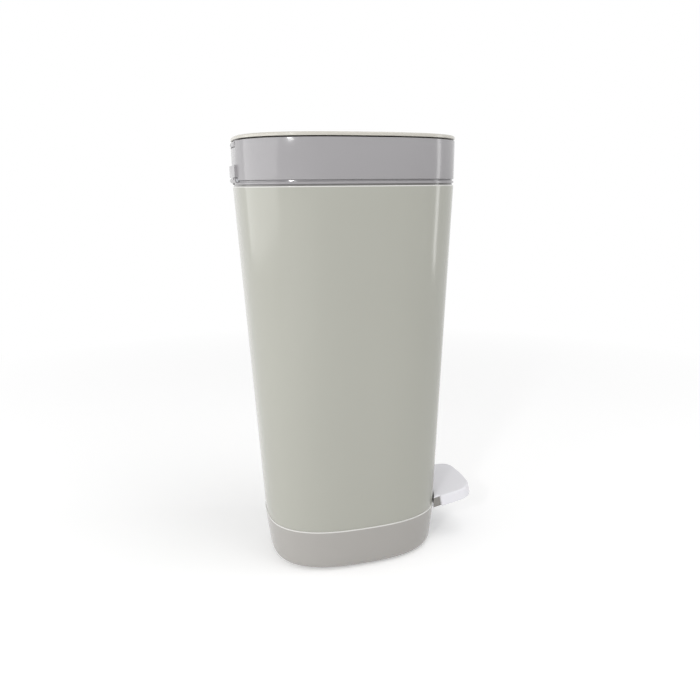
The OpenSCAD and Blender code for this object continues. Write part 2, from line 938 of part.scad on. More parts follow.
// Well that hangs in the deck by a lip, with the throat in its floor and the flaps under it
module cassette_well() {
    lip_top = ledge_top - bore_gap;
    color("#e4e3e0")
        difference() {
            union() {
                translate([0, lean, well_z])
                    cylinder(h = deck_top - well_z, r = well_r + well_wall, $fn = round_steps);
                translate([0, lean, lip_top - well_lip_t])
                    cylinder(h = well_lip_t, r = well_r + well_wall + well_lip_w, $fn = round_steps);
                flap_lugs();
            }
            translate([0, lean, well_z + well_floor_t])
                cylinder(h = cassette_h + 2 * over, r = well_r, $fn = round_steps);
            translate([0, lean, well_z - over])
                cylinder(h = well_floor_t + 2 * over, r = throat_r, $fn = round_steps);
            for (side = [-1, 1])
                translate([side * flap_x, lean - flap_half - 2 * flap_lug_w, flap_z])
                    rotate([-90, 0, 0])
                        cylinder(h = 2 * flap_half + 4 * flap_lug_w, r = flap_pin_r + bore_gap);
        }
}

// Lugs under the well that carry the pins of the flaps
module flap_lugs() {
    for (sx = [-1, 1], sy = [-1, 1])
        translate([sx * flap_x, lean + sy * (flap_half + run_gap + flap_lug_w / 2), 0]) {
            block([-flap_lug_half, -flap_lug_w / 2, flap_z], [flap_lug_half, flap_lug_w / 2, well_z + 1]);
            translate([0, flap_lug_w / 2, flap_z])
                rotate([90, 0, 0])
                    cylinder(h = flap_lug_w, r = flap_lug_half);
        }
}

module refill_cassette() {
    rim = cassette_r - cassette_rim_w;
    core_top = cassette_h - film_slot_h;
    color("#f0f0ee")
        translate([0, lean, cassette_z])
            rotate_extrude($fn = round_steps)
                polygon([
                    [cassette_core_r, 0], [cassette_r, 0], [cassette_r, cassette_h],
                    [rim, cassette_h], [rim, cassette_h - cassette_wall],
                    [cassette_r - cassette_wall, cassette_h - cassette_wall],
                    [cassette_r - cassette_wall, cassette_wall],
                    [cassette_core_r + cassette_wall, cassette_wall],
                    [cassette_core_r + cassette_wall, core_top],
                    [cassette_core_r, core_top]
                ]);
}

module film_pack() {
    low = cassette_wall + bore_gap;
    high = cassette_h - film_slot_h;
    inside = cassette_core_r + cassette_wall + seat_gap;
    outside = cassette_r - cassette_wall - seat_gap;
    color("#cfdbe6")
        translate([0, lean, cassette_z])
            rotate_extrude($fn = round_steps)
                polygon([
                    [inside, low], [outside, low], [outside, high],
                    [(inside + outside) / 2, high + film_crown], [inside, high]
                ]);
}

module flap_pins() {
    length = 2 * (flap_half + run_gap + flap_lug_w);
    color("#c9cacc")
        for (side = [-1, 1])
            translate([side * flap_x, lean - length / 2, flap_z])
                rotate([-90, 0, 0])
                    cylinder(h = length, r = flap_pin_r);
}

module flap_springs() {
    color("#c9cacc")
        for (side = [-1, 1])
            translate([side * flap_x, lean - flap_spring_length / 2, flap_z])
                rotate([-90, 0, 0])
                    coil(flap_spring_r, flap_wire_r, flap_spring_length, flap_spring_turns);
}

// Sprung flap under the throat, drawn on the +X side
module flap() {
    low = flap_z - flap_t / 2;
    reach = flap_x - flap_slot_depth;
    color("#d8d8d4")
        translate([0, lean, 0])
            difference() {
                union() {
                    block([run_gap, -flap_half, low], [flap_x, flap_half, low + flap_t]);
                    translate([flap_x, -flap_half, flap_z])
                        rotate([-90, 0, 0])
                            cylinder(h = 2 * flap_half, r = flap_barrel_r);
                    for (y = [-flap_half / 2, 0, flap_half / 2])
                        block([flap_rib_start, y - flap_rib_t / 2, low - flap_rib_t],
                            [reach, y + flap_rib_t / 2, flap_z]);
                }
                translate([flap_x, -flap_half - over, flap_z])
                    rotate([-90, 0, 0])
                        cylinder(h = 2 * (flap_half + over), r = flap_pin_r + bore_gap);
                block([reach, -flap_slot_half, flap_z - 2 * flap_barrel_r],
                    [flap_x + 2 * flap_barrel_r, flap_slot_half, flap_z + 2 * flap_barrel_r]);
            }
}

module flap_right() {
    flap();
}

module flap_left() {
    mirror([1, 0, 0])
        flap();
}

module lid() {
    leaf_low = lid_hinge_y - lid_leaf_in - seat_gap;
    leaf_high = lid_hinge_y + lid_leaf_out + seat_gap;
    color("#e0e0dc")
        difference() {
            loft([
                head_section(lid_z, lid_soft),
                head_section(lid_z + lid_soft, 0),
                for (k = [0 : edge_rings])
                    let (a = 90 * k / edge_rings)
                        head_section(total_h - lid_edge_r * (1 - sin(a)), lid_edge_r * (1 - cos(a)))
            ]);
            head_slab(lid_z - over, lid_t - lid_skin + over, lid_rim_w);
            block([-lid_barrel_half - seat_gap, leaf_low, lid_z - over],
                [lid_barrel_half + seat_gap, leaf_high, total_h - lid_skin]);
        }
}

module lid_liner() {
    top = total_h - lid_skin - bore_gap;
    notch = lid_hinge_y - lid_barrel_r - run_gap;
    color("#e4e3e0")
        difference() {
            union() {
                head_slab(top - liner_t, liner_t, lid_rim_w + seat_gap);
                translate([0, lean, deck_top + seal_w])
                    cylinder(h = top - liner_t / 2 - deck_top - seal_w, r = cassette_r,
                        $fn = round_steps);
            }
            translate([0, lean, deck_top - over])
                cylinder(h = top - liner_t - deck_top + over, r = cassette_r - liner_wall,
                    $fn = round_steps);
            block([-lid_barrel_half - seat_gap, notch, head_z],
                [lid_barrel_half + seat_gap, body_back(rim_z), total_h]);
        }
}

module lid_seal() {
    high = seal_w - run_gap - bore_gap;
    color("#5f6266")
        translate([0, lean, deck_top + run_gap])
            rotate_extrude($fn = round_steps)
                polygon([
                    [cassette_r - seal_w, 0], [cassette_r + seal_out, 0],
                    [cassette_r + seal_out, high], [cassette_r - seal_w, high]
                ]);
}

// Hinge of the lid: its barrel, the leaf that lies in the lid's recess and the arm that
// the rod's tip lifts
module lid_crank() {
    color("#9e9ca1")
        translate([0, lid_hinge_y, lid_hinge_z])
            difference() {
                union() {
                    side_shape(lid_barrel_half) {
                        circle(r = lid_barrel_r);
                        translate([-lid_leaf_in, 0])
                            square([lid_leaf_in + lid_leaf_out,
                                total_h - lid_skin - bore_gap - lid_hinge_z]);
                    }
                    side_shape(crank_half)
                        rotate(180 + crank_angle)
                            translate([hinge_pin_r, -crank_t / 2])
                                square([crank_reach - hinge_pin_r, crank_t]);
                }
                along_x(-lid_barrel_half - over, lid_barrel_half + over, 0, 0,
                    hinge_pin_r + bore_gap);
            }
}

base();
bottom_plate();
pedal_bracket();
bracket_screws();
pedal_axle();
floor_panel();
body_shell();
rod_channel();
rod_guide_lower();
rod_guide_middle();
rod_guide_upper();
return_spring();
collar_ring();
film_cutter();
cutter_blade();
head_hinge_pin();
pedal();
pedal_lever();
pedal_screws();
push_rod();
rod_collar();
rod_tip();
rod_foot();
head_shell();
deck();
cassette_well();
lid_hinge_pin();
refill_cassette();
film_pack();
flap_pins();
flap_springs();
lid();
lid_liner();
lid_seal();
lid_crank();
flap_left();
flap_right();
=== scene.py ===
# Nappy bin: moulded oval shells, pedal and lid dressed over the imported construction.
import bmesh
import bpy
import json
import math
from mathutils import Matrix, Vector


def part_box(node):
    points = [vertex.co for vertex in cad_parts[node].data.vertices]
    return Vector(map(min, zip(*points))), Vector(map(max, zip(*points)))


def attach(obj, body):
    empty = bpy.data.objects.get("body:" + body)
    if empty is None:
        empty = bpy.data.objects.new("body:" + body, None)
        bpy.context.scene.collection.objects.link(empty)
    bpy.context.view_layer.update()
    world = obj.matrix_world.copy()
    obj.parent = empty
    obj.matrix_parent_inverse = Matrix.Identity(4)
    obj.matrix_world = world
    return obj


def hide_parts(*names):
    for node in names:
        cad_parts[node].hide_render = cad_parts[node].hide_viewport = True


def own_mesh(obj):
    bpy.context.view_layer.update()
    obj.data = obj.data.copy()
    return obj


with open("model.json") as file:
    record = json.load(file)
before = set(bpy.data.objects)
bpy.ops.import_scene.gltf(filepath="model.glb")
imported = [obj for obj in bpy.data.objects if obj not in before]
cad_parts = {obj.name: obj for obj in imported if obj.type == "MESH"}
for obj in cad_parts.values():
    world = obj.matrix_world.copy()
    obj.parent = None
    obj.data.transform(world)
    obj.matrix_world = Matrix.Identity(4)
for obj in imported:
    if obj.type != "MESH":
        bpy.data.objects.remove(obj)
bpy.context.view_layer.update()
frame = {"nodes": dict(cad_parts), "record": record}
MM = 0.001  # metres in a millimetre

# Camera: the photograph's view, from the bin's side and a little behind its middle
CAMERA_AT = Vector((-0.8873, 0.2476, 0.5375))
CAMERA_LOOK = Vector((0.9330, -0.2632, -0.2455))
CAMERA_ROLL = math.radians(-0.48)
SENSOR = 36.0
LENS = 33.33

# Outline of the shells
OVAL_POWER = 2.64
OVAL_POINTS = 192
OVAL_FINER = 8

# Faces that meet at more than this angle, in degrees, keep a crease
CREASE = 35
WELD = 0.01 * MM


def plan(node):
    """Half width, half depth and centre along Y of a CAD node's box."""
    low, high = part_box(node)
    return (high.x - low.x) / 2, (high.y - low.y) / 2, (high.y + low.y) / 2


TOP_W, TOP_D, TOP_Y = plan("lid")
BASE_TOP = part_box("body_shell")[0].z
RIM_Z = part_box("body_shell")[1].z


def oval(half_w, half_d, centre, z):
    """Evenly spaced points round an oval at a height."""
    dense = []
    steps = OVAL_POINTS * OVAL_FINER
    for i in range(steps):
        a = 2 * math.pi * i / steps
        c, s = math.cos(a), math.sin(a)
        x = math.copysign(abs(c) ** (2 / OVAL_POWER), c) * half_w
        y = math.copysign(abs(s) ** (2 / OVAL_POWER), s) * half_d
        dense.append((x, y))
    lengths = [0.0]
    for i in range(steps):
        (x0, y0), (x1, y1) = dense[i], dense[(i + 1) % steps]
        lengths.append(lengths[-1] + math.hypot(x1 - x0, y1 - y0))
    points = []
    k = 0
    for i in range(OVAL_POINTS):
        target = lengths[-1] * i / OVAL_POINTS
        while lengths[k + 1] < target:
            k += 1
        f = (target - lengths[k]) / (lengths[k + 1] - lengths[k])
        (x0, y0), (x1, y1) = dense[k], dense[(k + 1) % steps]
        points.append(Vector((x0 + (x1 - x0) * f, centre + y0 + (y1 - y0) * f, z)))
    return points


def finish_mesh(name, bm, body, material, replaced):
    """Turns a bmesh into a named piece that rides on a body and stands for a CAD node."""
    bmesh.ops.recalc_face_normals(bm, faces=bm.faces)
    mesh = bpy.data.meshes.new(name)
    bm.to_mesh(mesh)
    bm.free()
    piece = bpy.data.objects.new(name, mesh)
    bpy.context.scene.collection.objects.link(piece)
    shade_by_angle(piece)
    mesh.materials.append(material)
    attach(piece, body)
    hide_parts(replaced)
    return piece


def shade_by_angle(piece):
    """Smooth shading, with creases only where faces meet at more than the crease angle."""
    for face in piece.data.polygons:
        face.use_smooth = True
    piece.data.set_sharp_from_angle(angle=math.radians(CREASE))


def bridge(bm, row, above):
    """Joins two rings of as many points with a band of faces."""
    for i in range(len(row)):
        j = (i + 1) % len(row)
        bm.faces.new((row[i], row[j], above[j], above[i]))


def loop_shell(rings):
    """Mesh of a closed profile swept round, whose last ring joins the first."""
    bm = bmesh.new()
    rows = [[bm.verts.new(p) for p in ring] for ring in rings]
    for k, row in enumerate(rows):
        bridge(bm, row, rows[(k + 1) % len(rows)])
    bmesh.ops.remove_doubles(bm, verts=bm.verts, dist=WELD)
    return bm


def rounded_box(bm, low, high, radius):
    """Adds a box with softened edges to a mesh."""
    made = bmesh.ops.create_cube(bm, size=1.0)["verts"]
    for v in made:
        v.co = Vector(low[i] + (v.co[i] + 0.5) * (high[i] - low[i]) for i in range(3))
    edges = list({e for v in made for e in v.link_edges})
    bmesh.ops.bevel(bm, geom=edges, offset=radius, segments=2, affect="EDGES", profile=0.5)


def combine(piece, bm, operation):
    """Joins a mesh to a piece, or cuts it out of the piece, for good."""
    mesh = bpy.data.meshes.new("tool")
    bmesh.ops.recalc_face_normals(bm, faces=bm.faces)
    bm.to_mesh(mesh)
    bm.free()
    tool = bpy.data.objects.new("tool", mesh)
    bpy.context.scene.collection.objects.link(tool)
    step = piece.modifiers.new("combine", "BOOLEAN")
    step.operation = operation
    step.solver = "EXACT"
    step.object = tool
    bpy.context.view_layer.update()
    whole = piece.evaluated_get(bpy.context.evaluated_depsgraph_get())
    done = bpy.data.meshes.new_from_object(whole)
    piece.modifiers.clear()
    old = piece.data
    piece.data = done
    done.name = old.name
    bpy.data.meshes.remove(old)
    bpy.data.objects.remove(tool)
    bpy.data.meshes.remove(mesh)


# Body: half sizes at the seam over the base and at the rim, straight between them
BASE_LIP = 1.1 * MM
BASE_DRAW = 7 * MM
WAIST_W, WAIST_D, WAIST_Y = plan("base")
SEAM_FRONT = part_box("base")[0].y
WAIST_W -= BASE_LIP
WAIST_D -= BASE_LIP


def body_at(z):
    """Half width, half depth and centre along Y of the body at a height."""
    f = (z - BASE_TOP) / (RIM_Z - BASE_TOP)
    return (WAIST_W + (TOP_W - WAIST_W) * f, WAIST_D + (TOP_D - WAIST_D) * f,
            WAIST_Y + (TOP_Y - WAIST_Y) * f)


def body_ring(z, inset):
    """Oval of the body at a height, drawn in by an inset."""
    half_w, half_d, centre = body_at(z)
    return oval(half_w - inset, half_d - inset, centre, z)


def edge_arc(z, inset, radius, start, end, steps=5):
    """Pairs of height and inset round an edge, by angles where 0 faces out and 90 up."""
    pairs = []
    for k in range(steps + 1):
        a = math.radians(start + (end - start) * k / steps)
        pairs.append((z + radius * math.sin(a), inset - radius * math.cos(a)))
    return pairs


def body_skin(material):
    """Outer skin of the body with soft edges, its lip under the collar and its inner wall."""
    wall, groove, groove_h = 3.2 * MM, 1.8 * MM, 2.0 * MM
    soft, shoulder_soft = 0.7 * MM, 1.3 * MM
    shoulder = RIM_Z - groove_h
    rows = 24
    pairs = edge_arc(BASE_TOP + soft, soft, soft, -90, 0)
    for k in range(1, rows):
        pairs.append((BASE_TOP + soft + (shoulder - BASE_TOP - soft - shoulder_soft) * k / rows, 0))
    pairs += edge_arc(shoulder - shoulder_soft, shoulder_soft, shoulder_soft, 0, 90, 8)
    pairs += [(shoulder, groove), (RIM_Z - 0.3 * MM, groove)]
    pairs += [(RIM_Z, groove + 0.3 * MM), (RIM_Z, wall)]
    for k in range(rows + 1):
        pairs.append((RIM_Z + (BASE_TOP - RIM_Z) * k / rows, wall))
    bm = loop_shell([body_ring(z, inset) for z, inset in pairs])
    return finish_mesh("body_skin", bm, "bin", material, "body_shell")


def base_ring(z, inset):
    """Oval of the base at a height, with its draw towards the floor."""
    draw = BASE_DRAW * (1 - z / BASE_TOP)
    centre = body_at(z)[2]
    return oval(WAIST_W + BASE_LIP - draw - inset, WAIST_D + BASE_LIP - draw - inset, centre, z)


def base_skin(material):
    """Base with its rounded foot, its soft lip under the body, its spigot and the pedal slot."""
    edge, lip, wall = 13 * MM, 1.1 * MM, 4.5 * MM
    foot_in, ledge_z = 17 * MM, 3 * MM
    seat, soft, spigot_wall = 3.5 * MM, 0.5 * MM, 3 * MM
    spigot_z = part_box("base")[1].z
    pairs = edge_arc(edge, edge, edge, -90, 0, 14)
    for k in range(1, 6):
        pairs.append((edge + (BASE_TOP - lip - edge) * k / 6, 0))
    pairs += edge_arc(BASE_TOP - lip, lip, lip, 0, 90)
    rings = [base_ring(z, inset) for z, inset in pairs]
    rings += [body_ring(BASE_TOP, seat), body_ring(spigot_z - soft, seat)]
    rings += [body_ring(spigot_z, seat + soft), body_ring(spigot_z, seat + spigot_wall)]
    rings += [body_ring(BASE_TOP - 2 * MM, seat + spigot_wall)]
    rings += [base_ring(BASE_TOP - 6 * MM, wall)]
    rings += [base_ring(edge, wall), base_ring(ledge_z, edge_inset(ledge_z, edge) + wall)]
    rings += [base_ring(ledge_z, foot_in), base_ring(0.0, foot_in)]
    bm = loop_shell(rings)
    piece = finish_mesh("base_skin", bm, "bin", material, "base")
    slot_half, slot_low, slot_high = 30 * MM, 18.1 * MM, 59 * MM
    slot_front, slot_back, slot_corner = SEAM_FRONT - 10 * MM, SEAM_FRONT + 60 * MM, 3 * MM
    cutter = bmesh.new()
    rounded_box(cutter, (-slot_half, slot_front, slot_low), (slot_half, slot_back, slot_high),
                slot_corner)
    combine(piece, cutter, "DIFFERENCE")
    shade_by_angle(piece)
    return piece


def edge_inset(z, radius):
    """How far a rounded foot of a radius draws in at a height."""
    return radius - math.sqrt(radius ** 2 - (radius - z) ** 2)


# Footplate of the pedal: its sizes, its place, and the ribs and screws under it
PEDAL_HALF, PEDAL_REACH, PEDAL_SIDE = 51 * MM, 60 * MM, 17 * MM
PEDAL_CORNER, PEDAL_BOW = 26 * MM, 260 * MM
PEDAL_TILT = math.radians(10.5)
PEDAL_NECK_Z = 74.5 * MM
PEDAL_GAP = 0.6 * MM
NECK_IN, NECK_LENGTH = 3.5 * MM, 10 * MM
RIB_X, RIB_HALF = 36 * MM, 1 * MM
SCREW_X, SCREW_Y, BOSS_H = 18 * MM, -30 * MM, 11 * MM


def on_pedal(x, y, z):
    """Point on the footplate's own axes, which tilt back from the base's seam."""
    c, s = math.cos(PEDAL_TILT), math.sin(PEDAL_TILT)
    return Vector((x, SEAM_FRONT + y * c + z * s, PEDAL_NECK_Z - y * s + z * c))


def pedal_back(x, inset):
    """Where the footplate's back stands off the body, on its own axes."""
    gap = BASE_LIP + PEDAL_GAP + inset
    half_w, half_d, centre = body_at(PEDAL_NECK_Z)
    half_w, half_d = half_w + gap, half_d + gap
    reach = (1 - (abs(x) / half_w) ** OVAL_POWER) ** (1 / OVAL_POWER)
    front = centre - half_d * reach
    return (front - SEAM_FRONT) / math.cos(PEDAL_TILT)


NECK_Y = pedal_back(PEDAL_HALF - NECK_IN, 0) - NECK_LENGTH


def pedal_outline(inset, behind):
    """Outline drawn in at its sides and behind, each point with its share of the back."""
    corner, bow = PEDAL_CORNER - inset, PEDAL_BOW - inset
    side, neck_half = PEDAL_HALF - inset, PEDAL_HALF - NECK_IN - inset
    soft = 0.5 * MM
    middle_y = PEDAL_BOW - PEDAL_REACH
    corner_x = PEDAL_HALF - PEDAL_CORNER
    swing = math.asin(corner_x / (bow - corner))
    corner_y = middle_y - (bow - corner) * math.cos(swing)
    half = []
    for k in range(16):
        a = swing * k / 16
        half.append((bow * math.sin(a), middle_y - bow * math.cos(a), 0))
    for k in range(33):
        a = swing + (math.pi / 2 - swing) * k / 32
        half.append((corner_x + corner * math.sin(a), corner_y - corner * math.cos(a), 0))
    step_y = NECK_Y - inset
    for k in range(1, 7):
        half.append((side, corner_y + (step_y - soft - corner_y) * k / 6, 0))
    half += [(side - 0.3 * soft, step_y - 0.3 * soft, 0), (side - soft, step_y, 0)]
    half += [(neck_half + soft, step_y, 0), (neck_half, step_y + soft, 0)]
    end_y = pedal_back(neck_half, behind)
    for k in range(1, 5):
        half.append((neck_half, step_y + soft + (end_y - step_y - soft) * k / 4, k / 4))
    for k in range(1, 25):
        x = neck_half * (1 - k / 24)
        half.append((x, pedal_back(x, behind), 1))
    left = [(-x, y, share) for x, y, share in reversed(half[1:-1])]
    return half + left


def screw_posts(bm, low_r, high_r, segments, middle):
    """Adds an upright post at each of the pedal's screws, on the footplate's own axes."""
    for x in (-SCREW_X, SCREW_X):
        made = bmesh.ops.create_cone(bm, cap_ends=True, segments=segments, radius1=low_r,
                                     radius2=high_r, depth=BOSS_H)["verts"]
        bmesh.ops.translate(bm, vec=Vector((x, SCREW_Y, middle)), verts=made)


def tilt_with_pedal(bm):
    """Moves a mesh from the footplate's own axes to its place."""
    for v in bm.verts:
        v.co = on_pedal(v.co.x, v.co.y, v.co.z)


def pedal_skin(material, neck_painted_shade):
    """Moulded footplate with drafted sides, a rounded top edge, ribs, screw bosses and grey painted
    shade on its neck's sides.
    """
    soft, edge, wall, draft = 0.5 * MM, 2.8 * MM, 3 * MM, 0.5 * MM

    def ring(z, inset, behind=None):
        drop = -z * math.tan(PEDAL_TILT)
        outline = pedal_outline(inset, inset if behind is None else behind)
        return [on_pedal(x, y + drop * share, z) for x, y, share in outline]

    start = -edge
    rings = [ring(-PEDAL_SIDE, wall), ring(-PEDAL_SIDE, soft)]
    rings += [ring(-PEDAL_SIDE + 0.3 * soft, 0.3 * soft), ring(-PEDAL_SIDE + soft, 0)]
    for k in range(1, 5):
        z = -PEDAL_SIDE + soft + (start + PEDAL_SIDE - soft) * k / 4
        rings.append(ring(z, draft * k / 4, 0))
    for k in range(1, 9):
        a = math.radians(90 * k / 8)
        curve = edge * (1 - math.cos(a))
        rings.append(ring(start + edge * math.sin(a), draft + curve, 0.25 * curve))
    bm = bmesh.new()
    rows = [[bm.verts.new(p) for p in r] for r in rings]
    ceiling = [bm.verts.new(p) for p in ring(-wall, wall + draft)]
    for row, above in zip([ceiling] + rows, rows):
        bridge(bm, row, above)
    bm.faces.new(rows[-1])
    bm.faces.new(list(reversed(ceiling)))
    piece = finish_mesh("pedal_skin", bm, "pedal", material, "pedal")
    ribs = bmesh.new()
    for x in (-RIB_X, 0.0, RIB_X):
        rounded_box(ribs, (x - RIB_HALF, -54 * MM, -11 * MM), (x + RIB_HALF, -6 * MM, -2 * MM),
                    0.3 * MM)
    screw_posts(ribs, 5 * MM, 4.6 * MM, 32, -7.5 * MM)
    tilt_with_pedal(ribs)
    combine(piece, ribs, "UNION")
    holes = bmesh.new()
    screw_posts(holes, 1.75 * MM, 1.75 * MM, 24, -9.5 * MM)
    tilt_with_pedal(holes)
    combine(piece, holes, "DIFFERENCE")
    # The neck's sides take the second, darker material as painted shade in the recess behind the
    # footplate.
    piece.data.materials.append(neck_painted_shade)
    for face in piece.data.polygons:
        y, z = face.center.y - SEAM_FRONT, face.center.z - PEDAL_NECK_Z
        along = y * math.cos(PEDAL_TILT) - z * math.sin(PEDAL_TILT)
        down = y * math.sin(PEDAL_TILT) + z * math.cos(PEDAL_TILT)
        if abs(face.normal.x) > 0.9 and NECK_Y < along and down < -0.6 * edge:
            face.material_index = 1
    shade_by_angle(piece)
    return piece


def spring_skin(material):
    """Round-wire return spring with closed end turns, wound at one fixed length along the rod's
    line of rise.
    """
    wire, turns, closed, each_turn, sides = 0.7 * MM, 9, 0.8, 28, 12
    end_rise = 2.1 * wire
    joints = frame["record"]["behaviour"]["joints"]
    rise = next(joint for joint in joints if joint["name"] == "rod_rise")
    axis = Vector(rise["axis"]).normalized()
    low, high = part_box("return_spring")
    length = (high.z - low.z) / axis.z
    coil = (high.x - low.x) / 2 - wire
    middle = (low + high) / 2
    foot = middle - axis * length / 2
    across, back = Vector((1, 0, 0)), axis.cross(Vector((1, 0, 0)))
    open_turns = turns - 2 * closed
    pitch = (length - 2 * wire - 2 * closed * end_rise) / open_turns
    bm = bmesh.new()
    loops = []
    for i in range(turns * each_turn + 1):
        t = i / each_turn
        ends = min(t, closed) + max(0.0, t - turns + closed)
        h = wire + end_rise * ends + pitch * (min(t, turns - closed) - min(t, closed))
        out = across * math.cos(2 * math.pi * t) + back * math.sin(2 * math.pi * t)
        centre = foot + axis * h + out * coil
        loop = []
        for k in range(sides):
            a = 2 * math.pi * k / sides
            loop.append(bm.verts.new(centre + out * wire * math.cos(a) + axis * wire * math.sin(a)))
        loops.append(loop)
    for one, two in zip(loops, loops[1:]):
        for k in range(sides):
            m = (k + 1) % sides
            bm.faces.new((one[k], two[k], two[m], one[m]))
    bm.faces.new(loops[0])
    bm.faces.new(list(reversed(loops[-1])))
    piece = finish_mesh("spring_skin", bm, "bin", material, "return_spring")
    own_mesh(piece)
    return piece


def srgb(red, green, blue):
    """Linear colour from screen values of 0 to 255."""
    def channel(v):
        v /= 255
        return v / 12.92 if v <= 0.04045 else ((v + 0.055) / 1.055) ** 2.4
    return (channel(red), channel(green), channel(blue), 1.0)


class Nodes:
    """Short forms for building a material's node tree."""

    def __init__(self, name):
        self.material = bpy.data.materials.new(name)
        self.material.use_nodes = True
        self.tree = self.material.node_tree
        self.shader = self.tree.nodes["Principled BSDF"]
        self.place = self.add("ShaderNodeTexCoord").outputs["Object"]

    def add(self, kind, **inputs):
        """A new node, with values for its inputs."""
        node = self.tree.nodes.new(kind)
        for key, value in inputs.items():
            node.inputs[key.replace("_", " ")].default_value = value
        return node

    def link(self, start, end):
        """Joins an output to an input."""
        self.tree.links.new(start, end)

    def noise(self, scale, detail=3.0, rough=0.5, stretch=(1, 1, 1)):
        """Noise with features of about 1/scale metres."""
        mapping = self.add("ShaderNodeMapping")
        mapping.inputs["Scale"].default_value = stretch
        self.link(self.place, mapping.inputs["Vector"])
        node = self.add("ShaderNodeTexNoise", Scale=scale, Detail=detail, Roughness=rough)
        self.link(mapping.outputs["Vector"], node.inputs["Vector"])
        return node.outputs["Fac"]

    def spread(self, value, low, high, out_low, out_high):
        """A value moved from one range to another and held inside it."""
        node = self.add("ShaderNodeMapRange")
        for key, number in (("From Min", low), ("From Max", high),
                            ("To Min", out_low), ("To Max", out_high)):
            node.inputs[key].default_value = number
        self.link(value, node.inputs["Value"])
        return node.outputs["Result"]

    def blend(self, factor, first, second):
        """Colour between two colours."""
        node = self.tree.nodes.new("ShaderNodeMix")
        node.data_type = "RGBA"
        self.link(factor, node.inputs["Factor"])
        for socket, colour in ((node.inputs["A"], first), (node.inputs["B"], second)):
            if isinstance(colour, tuple):
                socket.default_value = colour
            else:
                self.link(colour, socket)
        return node.outputs["Result"]

    def times(self, first, second):
        """Product of an output and an output or a number."""
        node = self.tree.nodes.new("ShaderNodeMath")
        node.operation = "MULTIPLY"
        self.link(first, node.inputs[0])
        if isinstance(second, float):
            node.inputs[1].default_value = second
        else:
            self.link(second, node.inputs[1])
        return node.outputs[0]

    def bump(self, height, strength, distance, previous=None):
        """Normal from a height, on top of a former normal if there is one."""
        node = self.add("ShaderNodeBump", Strength=strength, Distance=distance)
        self.link(height, node.inputs["Height"])
        if previous is not None:
            self.link(previous, node.inputs["Normal"])
        return node.outputs["Normal"]


def shade(colour, factor):
    """A colour made darker or lighter by a factor."""
    return tuple(min(1.0, c * factor) for c in colour[:3]) + (1.0,)


def moulded(name, colour, rough, grain=0.15, mottle=0.008, scuffs=0.02, lines=()):
    """Moulded plastic with flow mottle, uneven gloss, a fine skin, scuffs, and bands by height of
    painted highlight and painted shade.
    """
    m = Nodes(name)
    flow = m.noise(9, 4, 0.55, (1, 1, 0.45))
    tone = m.blend(m.spread(flow, 0.3, 0.7, 0, 1), shade(colour, 1 - mottle),
                   shade(colour, 1 + mottle))
    scuff = m.spread(m.noise(260, 6, 0.75, (1, 1, 0.2)), 0.68, 0.76, 0, 1)
    tone = m.blend(m.spread(scuff, 0, 1, 0, scuffs), tone, shade(colour, 0.8))
    # Each band is colour set by height: painted highlight on rounded edges, painted shade in
    # grooves.
    for low, high, painted_colour in lines:
        height = m.tree.nodes.new("ShaderNodeSeparateXYZ")
        m.link(m.place, height.inputs[0])
        rise = m.spread(height.outputs["Z"], low - PAINTED_BAND_SOFT, low, 0, 1)
        fall = m.spread(height.outputs["Z"], high, high + PAINTED_BAND_SOFT, 1, 0)
        tone = m.blend(m.times(rise, fall), tone, painted_colour)
    m.link(tone, m.shader.inputs["Base Color"])
    patch = m.noise(22, 3, 0.6)
    m.link(m.spread(patch, 0.3, 0.7, rough * 0.88, rough * 1.15), m.shader.inputs["Roughness"])
    skin = m.bump(m.noise(1500, 2, 0.5), grain, 0.00004)
    sink = m.bump(m.noise(14, 2, 0.4, (1, 1, 0.3)), 0.1, 0.0006, skin)
    m.link(sink, m.shader.inputs["Normal"])
    m.shader.inputs["IOR"].default_value = 1.49
    return m.material


def metal(name, colour, rough=0.28, stretch=(60, 1, 1)):
    """Bright metal with fine drawn lines and a little tarnish."""
    m = Nodes(name)
    lines = m.noise(40, 3, 0.6, stretch)
    tarnish = m.spread(m.noise(60, 4, 0.6), 0.45, 0.75, 0, 0.25)
    m.link(m.blend(tarnish, colour, shade(colour, 0.72)), m.shader.inputs["Base Color"])
    m.link(m.spread(lines, 0.3, 0.7, rough * 0.8, rough * 1.3), m.shader.inputs["Roughness"])
    m.link(m.bump(lines, 0.15, 0.0001), m.shader.inputs["Normal"])
    m.shader.inputs["Metallic"].default_value = 1.0
    return m.material


def rubber(name, colour):
    """Soft dark rubber with a dusty bloom."""
    m = Nodes(name)
    bloom = m.spread(m.noise(120, 5, 0.6), 0.4, 0.8, 0, 0.5)
    m.link(m.blend(bloom, colour, shade(colour, 1.5)), m.shader.inputs["Base Color"])
    m.link(m.spread(m.noise(300, 2), 0.3, 0.7, 0.65, 0.85), m.shader.inputs["Roughness"])
    m.link(m.bump(m.noise(1800, 2), 0.3, 0.00006), m.shader.inputs["Normal"])
    return m.material


def gathered_film(name, colour):
    """Thin film packed in pleats round its cassette."""
    m = Nodes(name)
    pleats = m.noise(240, 3, 0.6, (1, 1, 0.15))
    m.link(m.blend(m.spread(pleats, 0.35, 0.65, 0, 1), shade(colour, 0.86), shade(colour, 1.06)),
           m.shader.inputs["Base Color"])
    m.link(m.spread(pleats, 0.3, 0.7, 0.18, 0.35), m.shader.inputs["Roughness"])
    m.link(m.bump(pleats, 0.6, 0.001), m.shader.inputs["Normal"])
    m.shader.inputs["Transmission Weight"].default_value = 0.15
    return m.material
